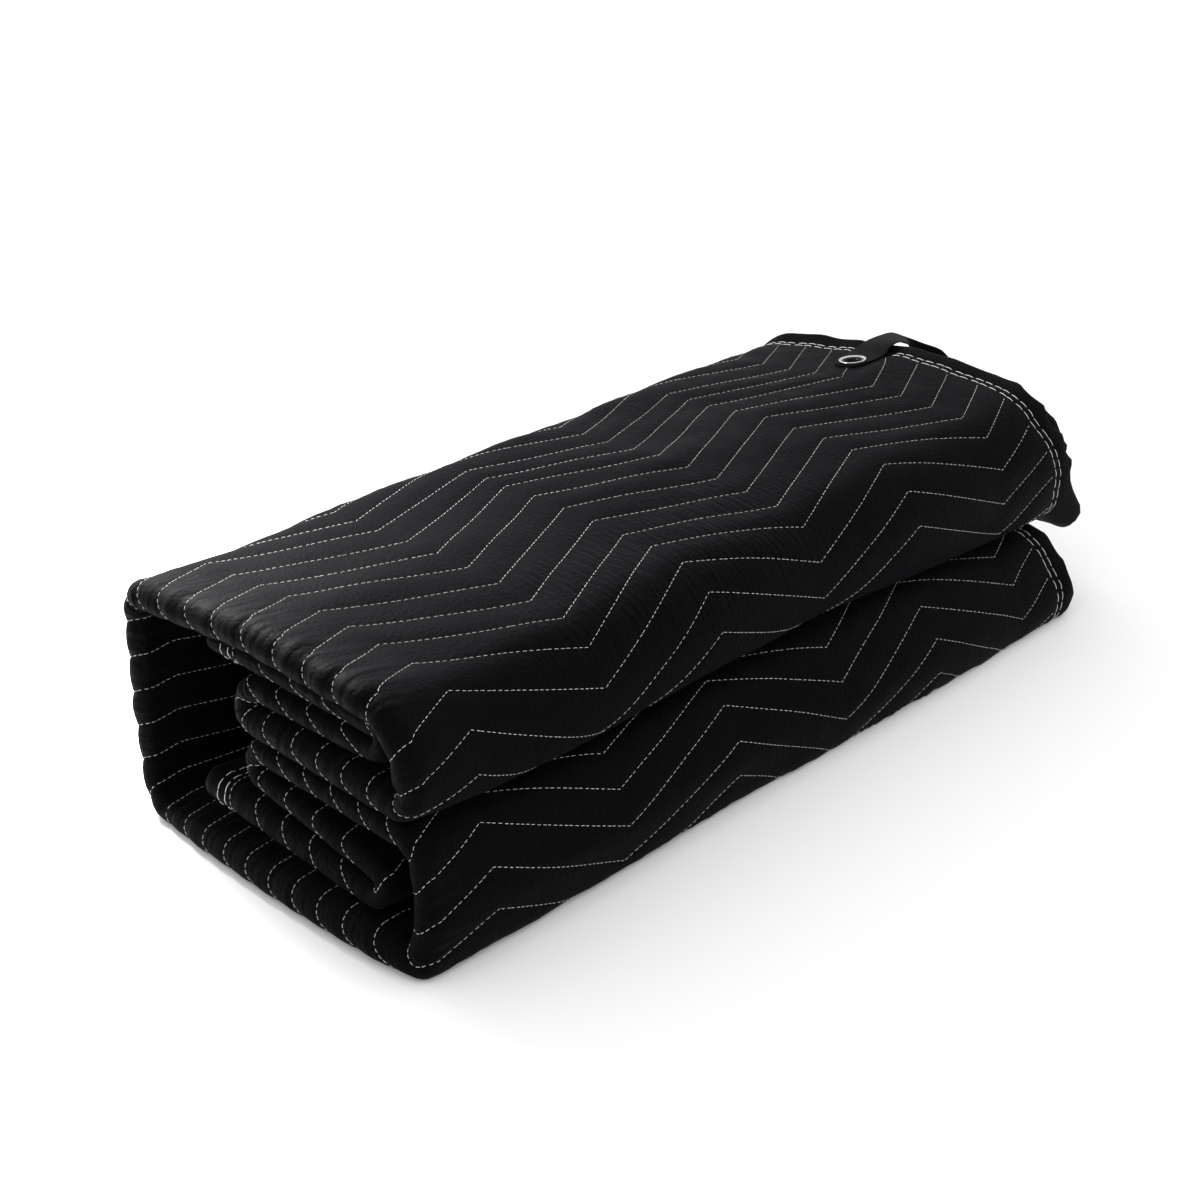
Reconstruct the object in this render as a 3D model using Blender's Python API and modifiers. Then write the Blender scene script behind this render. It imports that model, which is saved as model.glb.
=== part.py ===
"""Sound dampening blanket, folded up, with its webbing loop and its metal eyelet.

The blanket is one quilted sheet. It is doubled over its width, so the fold lies at one end of
the bundle (low X) and its two hems at the other. Both sides of the doubled sheet are rolled in
flat, and the two flat rolls are closed on each other like a book, with the spine at high Y.

The doubled sheet is drawn as a path in the Y-Z plane, which runs from the upper flap's free edge
round both rolls to the lower flap's free edge. The path has a section at the folded end, one in
the middle and one at the hemmed end, and the sheet blends from each to the next along X.
"""

from collections import namedtuple

import bmesh
import bpy
import numpy as np
from mathutils import Vector
from mathutils.bvhtree import BVHTree

NAME = "sound_dampening_blanket"

# The bundle, in metres
LENGTH = 1.016         # half of the blanket's 2.032 m width
PLY = 0.009            # the sheet, with its filling
HEM_PLY = 0.0065       # the same, pressed flat by the hem's seams
HEM_START = 0.84       # X from which the ply thins towards its hem
HEM_PRESSED = 0.91     # X past which it is pressed flat
TIGHTEST_TURN = 0.0015
NEAR_REACH = 0.25      # how far the folded end's section reaches
FAR_START = 0.45       # share of the length at which the hemmed end's section begins

# How finely the path and the length are divided
STRAIGHT_STEP = 0.070
ARC_STEP = 0.017
FEWEST_IN_ARC, MOST_IN_ARC = 3, 6
ALONG = (1.0, 0.91, 0.80, 0.66, 0.50, 0.35, 0.21, 0.09, 0.0)  # shares of a run, from hem to fold
NOSE_STEPS = 4

# The eyelet, set through the loop's end and the upper ply
EYELET_X, EYELET_Y = 0.922, 0.2555
EYELET_BORE = 0.0098        # radius of the open hole
EYELET_BARREL = 0.0108      # radius outside the barrel
EYELET_HOLE = 0.0113        # radius of the hole in cloth and webbing
EYELET_FLANGE = 0.0163
EYELET_FLANGE_HEIGHT = 0.0011
EYELET_SIDES = 32

# The webbing loop
WEBBING = 0.0024            # thickness
WEBBING_LIFT = 0.0009       # from the cloth to the webbing's underside
SEAT = 0.0004               # clearance of a piece on the next

# One turn of the path. near, middle and far give y, z and the radius on the sheet's left side;
# pair_* is the thickness of the doubled sheet there; hem_left and hem_right say how far each
# ply's hem lies past LENGTH, and setback how far the fold lies in from X = 0.
Turn = namedtuple(
    "Turn", "near middle far pair_near pair_middle pair_far hem_left hem_right setback"
)
TURNS = (
    # the upper roll, from its flap's free edge
    Turn((.280, .2090, .0), (.283, .1900, .0), (.290, .1800, .0),
         .0215, .023, .026, .000, -.006, .014),
    Turn((.070, .2110, .001), (.080, .1860, .001), (.085, .1740, .001),
         .0215, .023, .026, -.004, -.010, .014),
    Turn((.070, .2088, .001), (.080, .1840, .001), (.085, .1720, .001),
         .0220, .023, .026, -.006, -.010, .012),
    Turn((.2545, .2070, .026), (.258, .1850, .028), (.266, .1730, .028),
         .0225, .023, .026, -.010, -.014, .008),
    Turn((.2545, .1480, .028), (.258, .1275, .028), (.266, .1010, .028),
         .034, .028, .030, -.010, -.012, .003),
    # its front, its top and the spine
    Turn((.003, .1445, .035), (.005, .1260, .038), (.002, .0990, .034),
         .030, .025, .024, -.024, .018, .002),
    Turn((.014, .2550, .060), (.014, .2385, .073), (.004, .2440, .075),
         .020, .025, .024, -.030, -.004, .000),
    Turn((.220, .2620, .200), (.220, .2495, .200), (.220, .2530, .200),
         .023, .025, .024, .004, -.008, .000),
    Turn((.396, .2440, .033), (.412, .2390, .040), (.434, .2220, .046),
         .021, .022, .022, -.040, -.045, .000),
    Turn((.411, .0000, .052), (.413, .0000, .046), (.425, .0000, .040),
         .021, .022, .021, -.020, -.030, .000),
    # the lower roll's front, then its inner layers to the other free edge
    Turn((-.002, .0000, .013), (-.012, .0000, .014), (-.028, .0000, .018),
         .032, .025, .021, -.046, -.010, .004),
    Turn((-.006, .0600, .060), (-.022, .0620, .055), (-.032, .0350, .040),
         .026, .025, .021, -.038, -.006, .004),
    Turn((.002, .1430, .035), (.012, .1245, .036), (.004, .0970, .040),
         .024, .024, .021, -.044, -.010, .004),
    Turn((.248, .1430, .022), (.248, .1245, .022), (.256, .0965, .020),
         .0225, .024, .021, -.015, -.010, .008),
    Turn((.248, .0950, .022), (.248, .0740, .022), (.256, .0520, .020),
         .0225, .024, .021, -.010, -.006, .008),
    Turn((.070, .0840, .001), (.072, .0620, .001), (.078, .0480, .001),
         .024, .024, .021, -.004, .000, .006),
    Turn((.070, .0818, .001), (.072, .0598, .001), (.078, .0458, .001),
         .025, .025, .021, -.004, .000, .002),
    Turn((.125, .0830, .200), (.127, .0605, .200), (.130, .0460, .200),
         .034, .025, .021, -.002, -.002, .002),
    Turn((.302, .0880, .0), (.304, .0610, .0), (.310, .0460, .0),
         .034, .026, .021, .000, -.004, .002),
)

# The webbing from its end at the eyelet, out past the hem, over and down behind it. z is above
# the cloth at the eyelet; ON_CLOTH rows lie on the cloth and UNDER_HEM rows beneath its upper ply.
ON_CLOTH, UNDER_HEM = "on cloth", "under hem"
Band = namedtuple("Band", "outer_edge inner_edge")
BANDS = (
    Band((.900, .2845, ON_CLOTH), (.900, .2365, ON_CLOTH)),
    Band((.955, .2845, ON_CLOTH), (.955, .2365, ON_CLOTH)),
    Band((.990, .2850, .0030), (.975, .2400, .0105)),
    Band((1.020, .2855, .0025), (.990, .2405, .0120)),
    Band((1.038, .2830, .0015), (1.002, .2400, .0085)),
    Band((1.041, .2680, .0000), (1.015, .2370, -.0010)),
    Band((1.043, .2450, -.0020), (1.026, .2310, -.0380)),
    Band((1.044, .2180, -.0040), (1.030, .2120, -.0480)),
    Band((1.045, .2075, -.0090), (1.032, .1950, -.0530)),
    Band((1.043, .1940, -.0180), (1.036, .1600, -.0480)),
    Band((1.026, .1900, -.0130), (1.026, .1430, -.0200)),
    Band((.994, .1890, UNDER_HEM), (.994, .1420, UNDER_HEM)),
    Band((.972, .1890, UNDER_HEM), (.972, .1420, UNDER_HEM)),
)

# Linear colours, roughness and metal of the three materials
FABRIC = ((0.012, 0.012, 0.014), 0.9, 0.0)
WEBBING_CLOTH = ((0.014, 0.014, 0.015), 0.8, 0.0)
NICKEL = ((0.55, 0.55, 0.54), 0.3, 1.0)


def unit(vector):
    return vector / np.linalg.norm(vector)


def right_of(direction):
    return np.array([direction[1], -direction[0]])


def ease(share):
    share = np.clip(share, 0, 1)
    return share * share * (3 - 2 * share)


def crossing(point, direction, other, other_direction):
    """Where two lines meet, or half way between their points if they are parallel."""
    lines = np.array([direction, -other_direction]).T
    if abs(np.linalg.det(lines)) < 1e-9:
        return (point + other) / 2
    return point + np.linalg.solve(lines, other - point)[0] * direction


def right_side(corners, radii, pairs):
    """The corners and radii of the sheet's right side, a pair's thickness from its left."""
    runs = []
    for start, end, first, last in zip(corners, corners[1:], pairs, pairs[1:]):
        side = right_of(unit(end - start))
        start, end = start + side * first, end + side * last
        runs.append((start, unit(end - start), end))
    points, turning = [runs[0][0]], [0.0]
    for i, (before, after) in enumerate(zip(runs, runs[1:]), 1):
        points.append(crossing(before[0], before[1], after[0], after[1]))
        turn = np.sign(before[1][0] * after[1][1] - before[1][1] * after[1][0])
        turning.append(max(radii[i] + turn * pairs[i], TIGHTEST_TURN))
    return np.array(points + [runs[-1][2]]), turning + [0.0]


def filleted(corners, radii, straight, arc):
    """Points along the corners' path with its turns rounded: the same number at every turn and
    on every run, so that the points of two such paths correspond."""
    entering, leaving, centres = [corners[0]], [corners[0]], [None]
    for before, corner, after, radius in zip(corners, corners[1:], corners[2:], radii[1:]):
        back, onward = unit(before - corner), unit(after - corner)
        half = np.arccos(np.clip(back @ onward, -1, 1)) / 2
        entering.append(corner + back * radius / np.tan(half))
        leaving.append(corner + onward * radius / np.tan(half))
        centres.append(corner + unit(back + onward) * radius / np.sin(half))
    entering.append(corners[-1])
    points = []
    for i, count in enumerate(straight):
        if i:
            points += arc_points(centres[i], entering[i], leaving[i], arc[i])
        steps = np.arange(count)[:, None] / count
        points += list(leaving[i] + (entering[i + 1] - leaving[i]) * steps)
    return np.array(points + [corners[-1]])


def arc_points(centre, start, end, count):
    first = np.arctan2(*(start - centre)[::-1])
    sweep = (np.arctan2(*(end - centre)[::-1]) - first + np.pi) % (2 * np.pi) - np.pi
    angles = first + sweep * np.arange(count) / count
    radius = np.linalg.norm(start - centre)
    return [centre + radius * np.array([np.cos(a), np.sin(a)]) for a in angles]


class DoubledSheet:
    """The path's three sections, sampled alike, and what varies along the path."""

    def __init__(self):
        middles = np.array([turn.middle[:2] for turn in TURNS])
        lengths = np.linalg.norm(np.diff(middles, axis=0), axis=1)
        self.straight = [max(1, round(length / STRAIGHT_STEP)) for length in lengths]
        quarters = [(turn.middle[2] + PLY) * np.pi / 2 / ARC_STEP for turn in TURNS]
        self.arc = [int(np.clip(round(q), FEWEST_IN_ARC, MOST_IN_ARC)) for q in quarters]
        self.arc[0] = self.arc[-1] = 0
        self.left, self.right, self.pairs = [], [], []
        for place in ("near", "middle", "far"):
            self.add_section(place)
        self.hem_left = self.along([turn.hem_left for turn in TURNS])
        self.hem_right = self.along([turn.hem_right for turn in TURNS])
        self.setback = self.along([turn.setback for turn in TURNS])

    def add_section(self, place):
        rows = np.array([getattr(turn, place) for turn in TURNS])
        pairs = [getattr(turn, "pair_" + place) for turn in TURNS]
        corners, radii = rows[:, :2], rows[:, 2]
        self.left.append(filleted(corners, radii, self.straight, self.arc))
        other_corners, other_radii = right_side(corners, radii, pairs)
        self.right.append(filleted(other_corners, other_radii, self.straight, self.arc))
        self.pairs.append(self.along(pairs))

    def along(self, values):
        """A value for every point of the path, from one for every turn."""
        middles = []
        start = 0
        for arc, straight in zip(self.arc, self.straight + [0]):
            middles.append(start + arc / 2)
            start += arc + straight
        return np.interp(np.arange(start + 1), middles, values)

    def blend(self, sections, i, x):
        near = np.clip(1 - x / NEAR_REACH, 0, 1) ** 2
        far = ease((x / LENGTH - FAR_START) / (1 - FAR_START))
        shares = (near, 1 - near - far, far)
        return sum(share * section[i] for share, section in zip(shares, sections))

    def through(self, i, x, depth):
        """The point at path point i and length x, at a share of the way from left to right."""
        left, right = self.blend(self.left, i, x), self.blend(self.right, i, x)
        y, z = left + (right - left) * depth
        return (x, y, z)


def ply_at(x):
    return PLY + (HEM_PLY - PLY) * ease((x - HEM_START) / (HEM_PRESSED - HEM_START))


def ply_section(sheet, i):
    """Path point i's cut through both plies: the outside from the left ply's hem round the fold
    to the right ply's hem, and the inside along the same way."""
    nose = sheet.setback[i] + sheet.blend(sheet.pairs, i, 0) / 2
    outside, inside = [], []
    for share in ALONG:
        x = nose + (LENGTH + sheet.hem_left[i] - nose) * share
        depth = ply_at(x) / sheet.blend(sheet.pairs, i, x)
        outside.append(sheet.through(i, x, 0))
        inside.append(sheet.through(i, x, depth))
    add_nose(sheet, i, nose, outside, inside)
    for share in reversed(ALONG):
        x = nose + (LENGTH + sheet.hem_right[i] - nose) * share
        depth = ply_at(x) / sheet.blend(sheet.pairs, i, x)
        outside.append(sheet.through(i, x, 1))
        inside.append(sheet.through(i, x, 1 - depth))
    return outside, inside


def add_nose(sheet, i, nose, outside, inside):
    """The half turn at the fold, between the left ply and the right."""
    pair = sheet.blend(sheet.pairs, i, nose)
    reach = pair / 2
    hollow = reach - PLY
    for angle in np.pi * np.arange(1, NOSE_STEPS) / NOSE_STEPS:
        x = nose - reach * np.sin(angle)
        _, y, z = sheet.through(i, nose, (1 - np.cos(angle)) / 2)
        outside.append((x, y, z))
        x = nose - hollow * np.sin(angle)
        _, y, z = sheet.through(i, nose, (1 - np.cos(angle) * hollow / reach) / 2)
        inside.append((x, y, z))


def grid_faces(rows):
    """The quads between neighbouring rows of vertices."""
    quads = []
    for row, following in zip(rows, rows[1:]):
        quads += zip(row, row[1:], following[1:], following)
    return quads


def mesh_object(name, points, faces):
    shape = bmesh.new()
    vertices = [shape.verts.new(point) for point in points]
    for face in faces:
        shape.faces.new([vertices[i] for i in face])
    bmesh.ops.recalc_face_normals(shape, faces=shape.faces)
    mesh = bpy.data.meshes.new(name)
    shape.to_mesh(mesh)
    shape.free()
    return bpy.data.objects.new(name, mesh)


def make_blanket():
    sheet = DoubledSheet()
    points, outer, inner = [], [], []
    for i in range(len(sheet.setback)):
        for rows, section in zip((outer, inner), ply_section(sheet, i)):
            rows.append(list(range(len(points), len(points) + len(section))))
            points += section
    faces = grid_faces(outer) + grid_faces(inner)
    for edge in (0, -1):
        faces += grid_faces([[row[edge] for row in outer], [row[edge] for row in inner]])
        faces += grid_faces([outer[edge], inner[edge]])
    return mesh_object("blanket", points, faces)


def hits_below(tree, x, y):
    """The heights at which the blanket's faces lie under a point, from the top."""
    heights = []
    origin = Vector((x, y, 1.0))
    while True:
        hit = tree.ray_cast(origin, Vector((0, 0, -1)))[0]
        if hit is None:
            return heights
        heights.append(hit.z)
        origin = hit - Vector((0, 0, 1e-5))


def deck_at(tree):
    """The point of the cloth under the eyelet, and its normal."""
    point, normal, _, _ = tree.ray_cast(Vector((EYELET_X, EYELET_Y, 1.0)), Vector((0, 0, -1)))
    return point, normal if normal.z > 0 else -normal


def band_point(place, tree, deck, normal):
    """One of a band's edges. On the cloth it lies in the plane of the eyelet's flange."""
    x, y, z = place
    if z == ON_CLOTH:
        tilt = (normal.x * (x - deck.x) + normal.y * (y - deck.y)) / normal.z
        return np.array([x, y, deck.z - tilt + WEBBING_LIFT + WEBBING / 2])
    if z == UNDER_HEM:
        underside = hits_below(tree, x, y)[1]
        return np.array([x, y, underside - SEAT - WEBBING / 2])
    return np.array([x, y, deck.z + z])


def make_loop_strap(tree):
    deck, normal = deck_at(tree)
    edges = np.array(
        [[band_point(place, tree, deck, normal) for place in band] for band in BANDS]
    )
    middles = edges.mean(axis=1)
    points, rows = [], []
    for i, (outer_edge, inner_edge) in enumerate(edges):
        onward = middles[min(i + 1, len(edges) - 1)] - middles[max(i - 1, 0)]
        thick = unit(np.cross(inner_edge - outer_edge, onward)) * WEBBING / 2
        ring = list(range(len(points), len(points) + 4))
        rows.append(ring + ring[:1])
        points += [outer_edge + thick, inner_edge + thick]
        points += [inner_edge - thick, outer_edge - thick]
    faces = grid_faces(rows) + [rows[0][:4], rows[-1][:4]]
    return mesh_object("loop_strap", points, faces)


def cylinder_cutter(name, radius, depth):
    bpy.ops.mesh.primitive_cylinder_add(vertices=EYELET_SIDES, radius=radius, depth=depth)
    cutter = bpy.context.object
    cutter.name = name
    cutter.hide_render = True
    cutter.display_type = "WIRE"
    return cutter


def cut(piece, cutter):
    boolean = piece.modifiers.new("eyelet hole", "BOOLEAN")
    boolean.operation = "DIFFERENCE"
    boolean.solver = "EXACT"
    boolean.object = cutter


def make_eyelet():
    """A pressed ring: a flange on the webbing, a barrel through the cloth, a flange beneath."""
    top = WEBBING_LIFT + WEBBING + SEAT
    bottom = -HEM_PLY - 2 * SEAT
    height = EYELET_FLANGE_HEIGHT
    rounding = height * 0.4
    profile = (
        (EYELET_BARREL, top),
        (EYELET_FLANGE, top),
        (EYELET_FLANGE, top + height - rounding),
        (EYELET_FLANGE - rounding, top + height),
        (EYELET_BORE + rounding, top + height),
        (EYELET_BORE, top + height - rounding),
        (EYELET_BORE, bottom - height),
        (EYELET_FLANGE, bottom - height),
        (EYELET_FLANGE, bottom),
        (EYELET_BARREL, bottom),
    )
    mesh = bpy.data.meshes.new("eyelet")
    count = len(profile)
    edges = [(i, (i + 1) % count) for i in range(count)]
    mesh.from_pydata([(r, 0, z) for r, z in profile], edges, [])
    eyelet = bpy.data.objects.new("eyelet", mesh)
    screw = eyelet.modifiers.new("turned", "SCREW")
    screw.steps = screw.render_steps = EYELET_SIDES
    screw.use_normal_flip = True
    screw.use_merge_vertices = True
    screw.merge_threshold = 1e-6
    return eyelet


def material(name, look):
    colour, roughness, metal = look
    made = bpy.data.materials.new(name)
    made.use_nodes = True
    shader = made.node_tree.nodes["Principled BSDF"]
    shader.inputs["Base Color"].default_value = (*colour, 1)
    shader.inputs["Roughness"].default_value = roughness
    shader.inputs["Metallic"].default_value = metal
    made.diffuse_color = (*colour, 1)
    return made


def collection(name):
    made = bpy.data.collections.new(name)
    bpy.context.scene.collection.children.link(made)
    return made


def place(piece, group, parent):
    for other in piece.users_collection:
        other.objects.unlink(piece)
    group.objects.link(piece)
    piece.parent = parent


def bundle_origin(*pieces):
    """The middle of the pieces' bounding box at its lowest height."""
    points = np.array([vertex.co for piece in pieces for vertex in piece.data.vertices])
    low, high = points.min(axis=0), points.max(axis=0)
    return Vector((*(low + high)[:2] / 2, low[2]))


def main():
    for old in list(bpy.data.objects):
        bpy.data.objects.remove(old, do_unlink=True)
    parts, cutters = collection(NAME), collection("cutters")

    blanket = make_blanket()
    mesh = blanket.data
    tree = BVHTree.FromPolygons(
        [vertex.co for vertex in mesh.vertices], [face.vertices for face in mesh.polygons]
    )
    strap = make_loop_strap(tree)
    eyelet = make_eyelet()
    hole = cylinder_cutter("eyelet_hole", EYELET_HOLE, 2 * (HEM_PLY + 3 * SEAT))
    cut(blanket, hole)
    cut(strap, hole)

    frame = bpy.data.objects.new("bundle", None)
    frame.location = -bundle_origin(blanket, strap)
    parts.objects.link(frame)
    for piece, group in ((blanket, parts), (strap, parts), (eyelet, parts), (hole, cutters)):
        place(piece, group, frame)
    deck, normal = deck_at(tree)
    for piece in (eyelet, hole):
        piece.location = deck
        piece.rotation_euler = normal.to_track_quat("Z", "Y").to_euler()

    blanket.data.materials.append(material("quilted_fabric", FABRIC))
    strap.data.materials.append(material("webbing", WEBBING_CLOTH))
    eyelet.data.materials.append(material("nickel", NICKEL))
    for piece in (blanket, strap):
        piece.data.shade_smooth()
        piece.data.set_sharp_from_angle(angle=np.radians(40))


main()
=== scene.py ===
"""Looks of the folded sound dampening blanket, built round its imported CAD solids.

The blanket is one fine mesh on nearly the same fold as its CAD solid. Its columns follow the
quilting's zigzag lines, so that each line is a crease in the mesh and carries a row of modelled
stitches.
"""

from collections import namedtuple

import bpy
import numpy as np
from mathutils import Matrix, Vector
from mathutils.kdtree import KDTree


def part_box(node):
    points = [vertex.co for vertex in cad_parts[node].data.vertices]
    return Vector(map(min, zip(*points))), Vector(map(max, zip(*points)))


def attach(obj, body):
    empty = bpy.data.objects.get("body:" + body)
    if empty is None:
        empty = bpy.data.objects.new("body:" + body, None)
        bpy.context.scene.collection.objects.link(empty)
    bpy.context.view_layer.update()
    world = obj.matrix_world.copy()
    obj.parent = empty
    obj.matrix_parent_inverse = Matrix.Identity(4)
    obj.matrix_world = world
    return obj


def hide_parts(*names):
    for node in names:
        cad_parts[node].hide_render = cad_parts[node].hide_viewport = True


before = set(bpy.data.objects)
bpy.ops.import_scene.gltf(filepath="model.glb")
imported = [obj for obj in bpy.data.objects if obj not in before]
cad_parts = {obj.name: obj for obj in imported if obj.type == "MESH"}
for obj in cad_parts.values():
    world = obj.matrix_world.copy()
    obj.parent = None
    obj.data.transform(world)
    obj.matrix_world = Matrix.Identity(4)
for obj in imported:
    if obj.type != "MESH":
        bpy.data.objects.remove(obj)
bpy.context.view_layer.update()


def table(columns, *rows):
    """Rows whose columns have names."""
    kind = namedtuple("Row", columns)
    return [kind(*row) for row in rows]


# The fold, in metres from the bundle's near lower corner. It is the CAD's, but for the near end's
# upper flap, which reaches further back, and its lower roll's inner turn, which lies lower.
LENGTH = 1.016         # half of the blanket's 2.032 m width
PLY = 0.009
HEM_PLY = 0.0065
HEM_START = 0.84       # X from which a ply thins towards its hem
HEM_PRESSED = 0.91
TIGHTEST_TURN = 0.0015
NEAR_REACH = 0.25      # X up to which the near section tells
FAR_START = 0.45       # share of the length at which the far section begins to

# Each turn of the path: near, middle and far give y, z and the radius on the sheet's left side;
# pair_* is the doubled sheet's thickness; setback how far its folded end is drawn in.
TURNS = table(
    "near middle far pair_near pair_middle pair_far setback",
    # the upper roll, from its flap's free edge
    ((.298, .2110, .0), (.283, .1900, .0), (.290, .1800, .0), .0215, .023, .026, .014),
    ((.070, .2110, .001), (.080, .1860, .001), (.085, .1740, .001), .0215, .023, .026, .014),
    ((.070, .2088, .001), (.080, .1840, .001), (.085, .1720, .001), .0220, .023, .026, .012),
    ((.2545, .2070, .026), (.258, .1850, .028), (.266, .1730, .028), .0225, .023, .026, .008),
    ((.2545, .1480, .028), (.258, .1275, .028), (.266, .1010, .028), .034, .028, .030, .003),
    # its front, its top and the spine
    ((.003, .1445, .035), (.005, .1260, .038), (.002, .0990, .034), .030, .025, .024, .002),
    ((.014, .2550, .060), (.014, .2385, .073), (.004, .2440, .075), .020, .025, .024, .000),
    ((.220, .2620, .200), (.220, .2495, .200), (.220, .2530, .200), .023, .025, .024, .000),
    ((.396, .2440, .033), (.412, .2390, .040), (.434, .2220, .046), .021, .022, .022, .000),
    ((.411, .0000, .052), (.413, .0000, .046), (.425, .0000, .040), .021, .022, .021, .000),
    # the lower roll's front, then its inner layers to the other free edge
    ((-.002, .0000, .013), (-.012, .0000, .014), (-.028, .0000, .018), .032, .025, .021, .004),
    ((-.006, .0600, .060), (-.022, .0620, .055), (-.032, .0350, .040), .026, .025, .021, .004),
    ((.002, .1430, .035), (.012, .1245, .036), (.004, .0970, .040), .024, .024, .021, .004),
    ((.248, .1430, .022), (.248, .1245, .022), (.256, .0965, .020), .0225, .024, .021, .008),
    ((.248, .0950, .022), (.248, .0740, .022), (.256, .0520, .020), .0225, .024, .021, .008),
    ((.070, .0660, .001), (.072, .0620, .001), (.078, .0480, .001), .024, .024, .021, .006),
    ((.070, .0638, .001), (.072, .0598, .001), (.078, .0458, .001), .025, .025, .021, .002),
    ((.125, .0700, .200), (.127, .0605, .200), (.130, .0460, .200), .030, .025, .021, .002),
    ((.302, .0880, .0), (.304, .0610, .0), (.310, .0460, .0), .034, .026, .021, .002),
)
SAMPLE_STEP = 0.004    # between the points that the fold's sections are sampled at
EVENED_RUNS = ((4, 7), (10, 13))   # turns between which the places follow each section's length
TIGHT_TURNS = (1, 15)              # with next to no length on their left side
TIGHT_REACH = 0.05

# The quilting: zigzag lines across the blanket, from hem to hem. line counts them from one free
# edge to the other, and place is how far along the fold's outer face a line lies.
QUILTING = table(
    "line place",
    (0, 0.000),
    (16, 0.630),
    (20, 0.796),
    (25, 0.987),
    (27, 1.058),
    (46, 1.763),
    (50, 1.920),
    (67, 2.570),
)
LINES = QUILTING[-1].line
ZIGZAG_RISE = 0.067    # how far a line runs sideways between its kinks
ZIGZAG_HALF = 0.159    # the length from one kink to the next
FIRST_VALLEY = 0.144   # the kink nearest the hem
NOSE_WRAP = 0.045      # what the folded end takes up of a line's length
INNER_CALM = 0.6       # the share by which a line swings less on the inner ply

# How far the lines have slipped along the fold at each of their kinks, from the near end
DRIFT = table(
    "line first second third fourth fifth sixth",
    (13, .000, .000, .000, .000, .000, .000),
    (16, -.020, -.019, .001, .008, .013, .026),
    (17, -.020, -.019, .001, .007, .010, .022),
    (18, -.020, -.018, .000, .005, .006, .016),
    (19, -.023, -.010, -.003, .002, .002, .012),
    (21, -.014, -.013, -.006, .000, -.001, .004),
    (23, -.012, -.007, -.002, .002, .000, .004),
    (25, -.002, .000, .005, .003, -.001, .000),
    (27, .010, .014, -.011, .006, -.014, .000),
    (30, .000, .000, .000, .000, .000, .000),
    (44, .000, .000, .000, .000, .000, .000),
    (46, .010, .007, .003, -.007, -.007, -.017),
    (48, .014, .011, .000, -.009, -.011, -.015),
    (50, .010, .005, -.016, -.011, -.011, -.014),
    (54, .000, .000, .000, .000, .000, .000),
)

# The hemmed edge: how far each ply's hem lies past LENGTH, and how far the left one curls up
HEMS = table(
    "place left right curl",
    (0.00, .000, -.006, .000),
    (0.20, -.005, -.010, .000),
    (0.40, -.010, -.013, .000),
    (0.60, -.010, .004, .000),
    (0.65, -.008, .014, .000),
    (0.70, -.010, .010, .000),
    (0.735, -.025, .004, .001),
    (0.765, -.034, .000, .002),
    (0.80, -.028, -.003, .003),
    (0.84, -.019, -.005, .004),
    (0.92, -.017, -.007, .004),
    (1.00, -.018, -.020, .005),
    (1.06, -.025, -.032, .008),
    (1.13, -.038, -.045, .008),
    (1.20, -.036, -.042, .004),
    (1.35, -.020, -.030, .000),
    (1.76, -.044, -.044, .000),
    (1.83, -.043, -.046, .000),
    (1.89, -.046, -.046, .000),
    (2.12, -.015, -.015, .000),
    (2.34, -.004, -.002, .000),
    (2.57, .000, -.004, .000),
)
HEM_CORNER = (.042, -.038)   # x and z by which the hem's corner hangs out under the front

# The mesh's columns, as shares of the way from one line to the next: fine where the outer face
# shows and coarse inside and behind. Each run of lines goes on from the one before.
FINE = (0, .055, .15, .30, .50, .70, .85, .945)
HALF_FINE = (0, .08, .27, .5, .73, .92)
COARSE = (0, .12, .5, .88)
COLUMN_RUNS = table(
    "up_to shares",
    (4, COARSE),
    (7, FINE),
    (14, COARSE),
    (30, FINE),
    (46, HALF_FINE),
    (52, FINE),
    (59, COARSE),
    (63, FINE),
    (67, COARSE),
)
EDGE_COLUMNS = (0, .015, .05, .11, .22, .36, .48, .58, .68, .84)

# Rows across the doubled sheet: from the hem inwards, then even ones, then those at the nose
FROM_HEM = (0, .0007, .0022, .0050, .0095, .0150, .0190, .0220, .0250, .0285, .0310, .0335, .038,
            .045, .056)
TO_HEM = (.3, .65)
LEFT_ROWS, RIGHT_ROWS = 13, 7   # even rows in each half zigzag of the outer and the inner ply
NEAREST_EVEN = 0.080
TO_NOSE = (.86, .72, .58, .44, .32, .21, .10, 0)
NOSE_STEPS = 12

# The hem's seams, from its edge, and the stitches
HEM_SEAMS = (.0220, .0310)
LINE_END = .0360            # a quilting line stops this far from the hem's edge
Stitch = namedtuple("Stitch", "pitch thread radius rise")
QUILT_STITCH = Stitch(pitch=.0063, thread=.72, radius=.00023, rise=.0004)
HEM_STITCH = Stitch(pitch=.0140, thread=.90, radius=.00040, rise=.0006)

TOP_ONLY = 0.2         # z above which a point is on the bundle's top

# The eyelet, pressed through the webbing and the upper ply
EYELET_X, EYELET_Y = 0.922, 0.2555
EYELET_SIDES = 64
EYELET_BORE = 0.0098
EYELET_BARREL = 0.0108
EYELET_HOLE = 0.0113
EYELET_FLANGE = 0.0163
EYELET_FLANGE_HEIGHT = 0.0011
SEAT = 0.0004          # between the eyelet's flanges and what they clamp
CUT_ABOVE, CUT_BELOW = 0.010, 0.0135    # the hole's reach over and under the cloth's face

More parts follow.
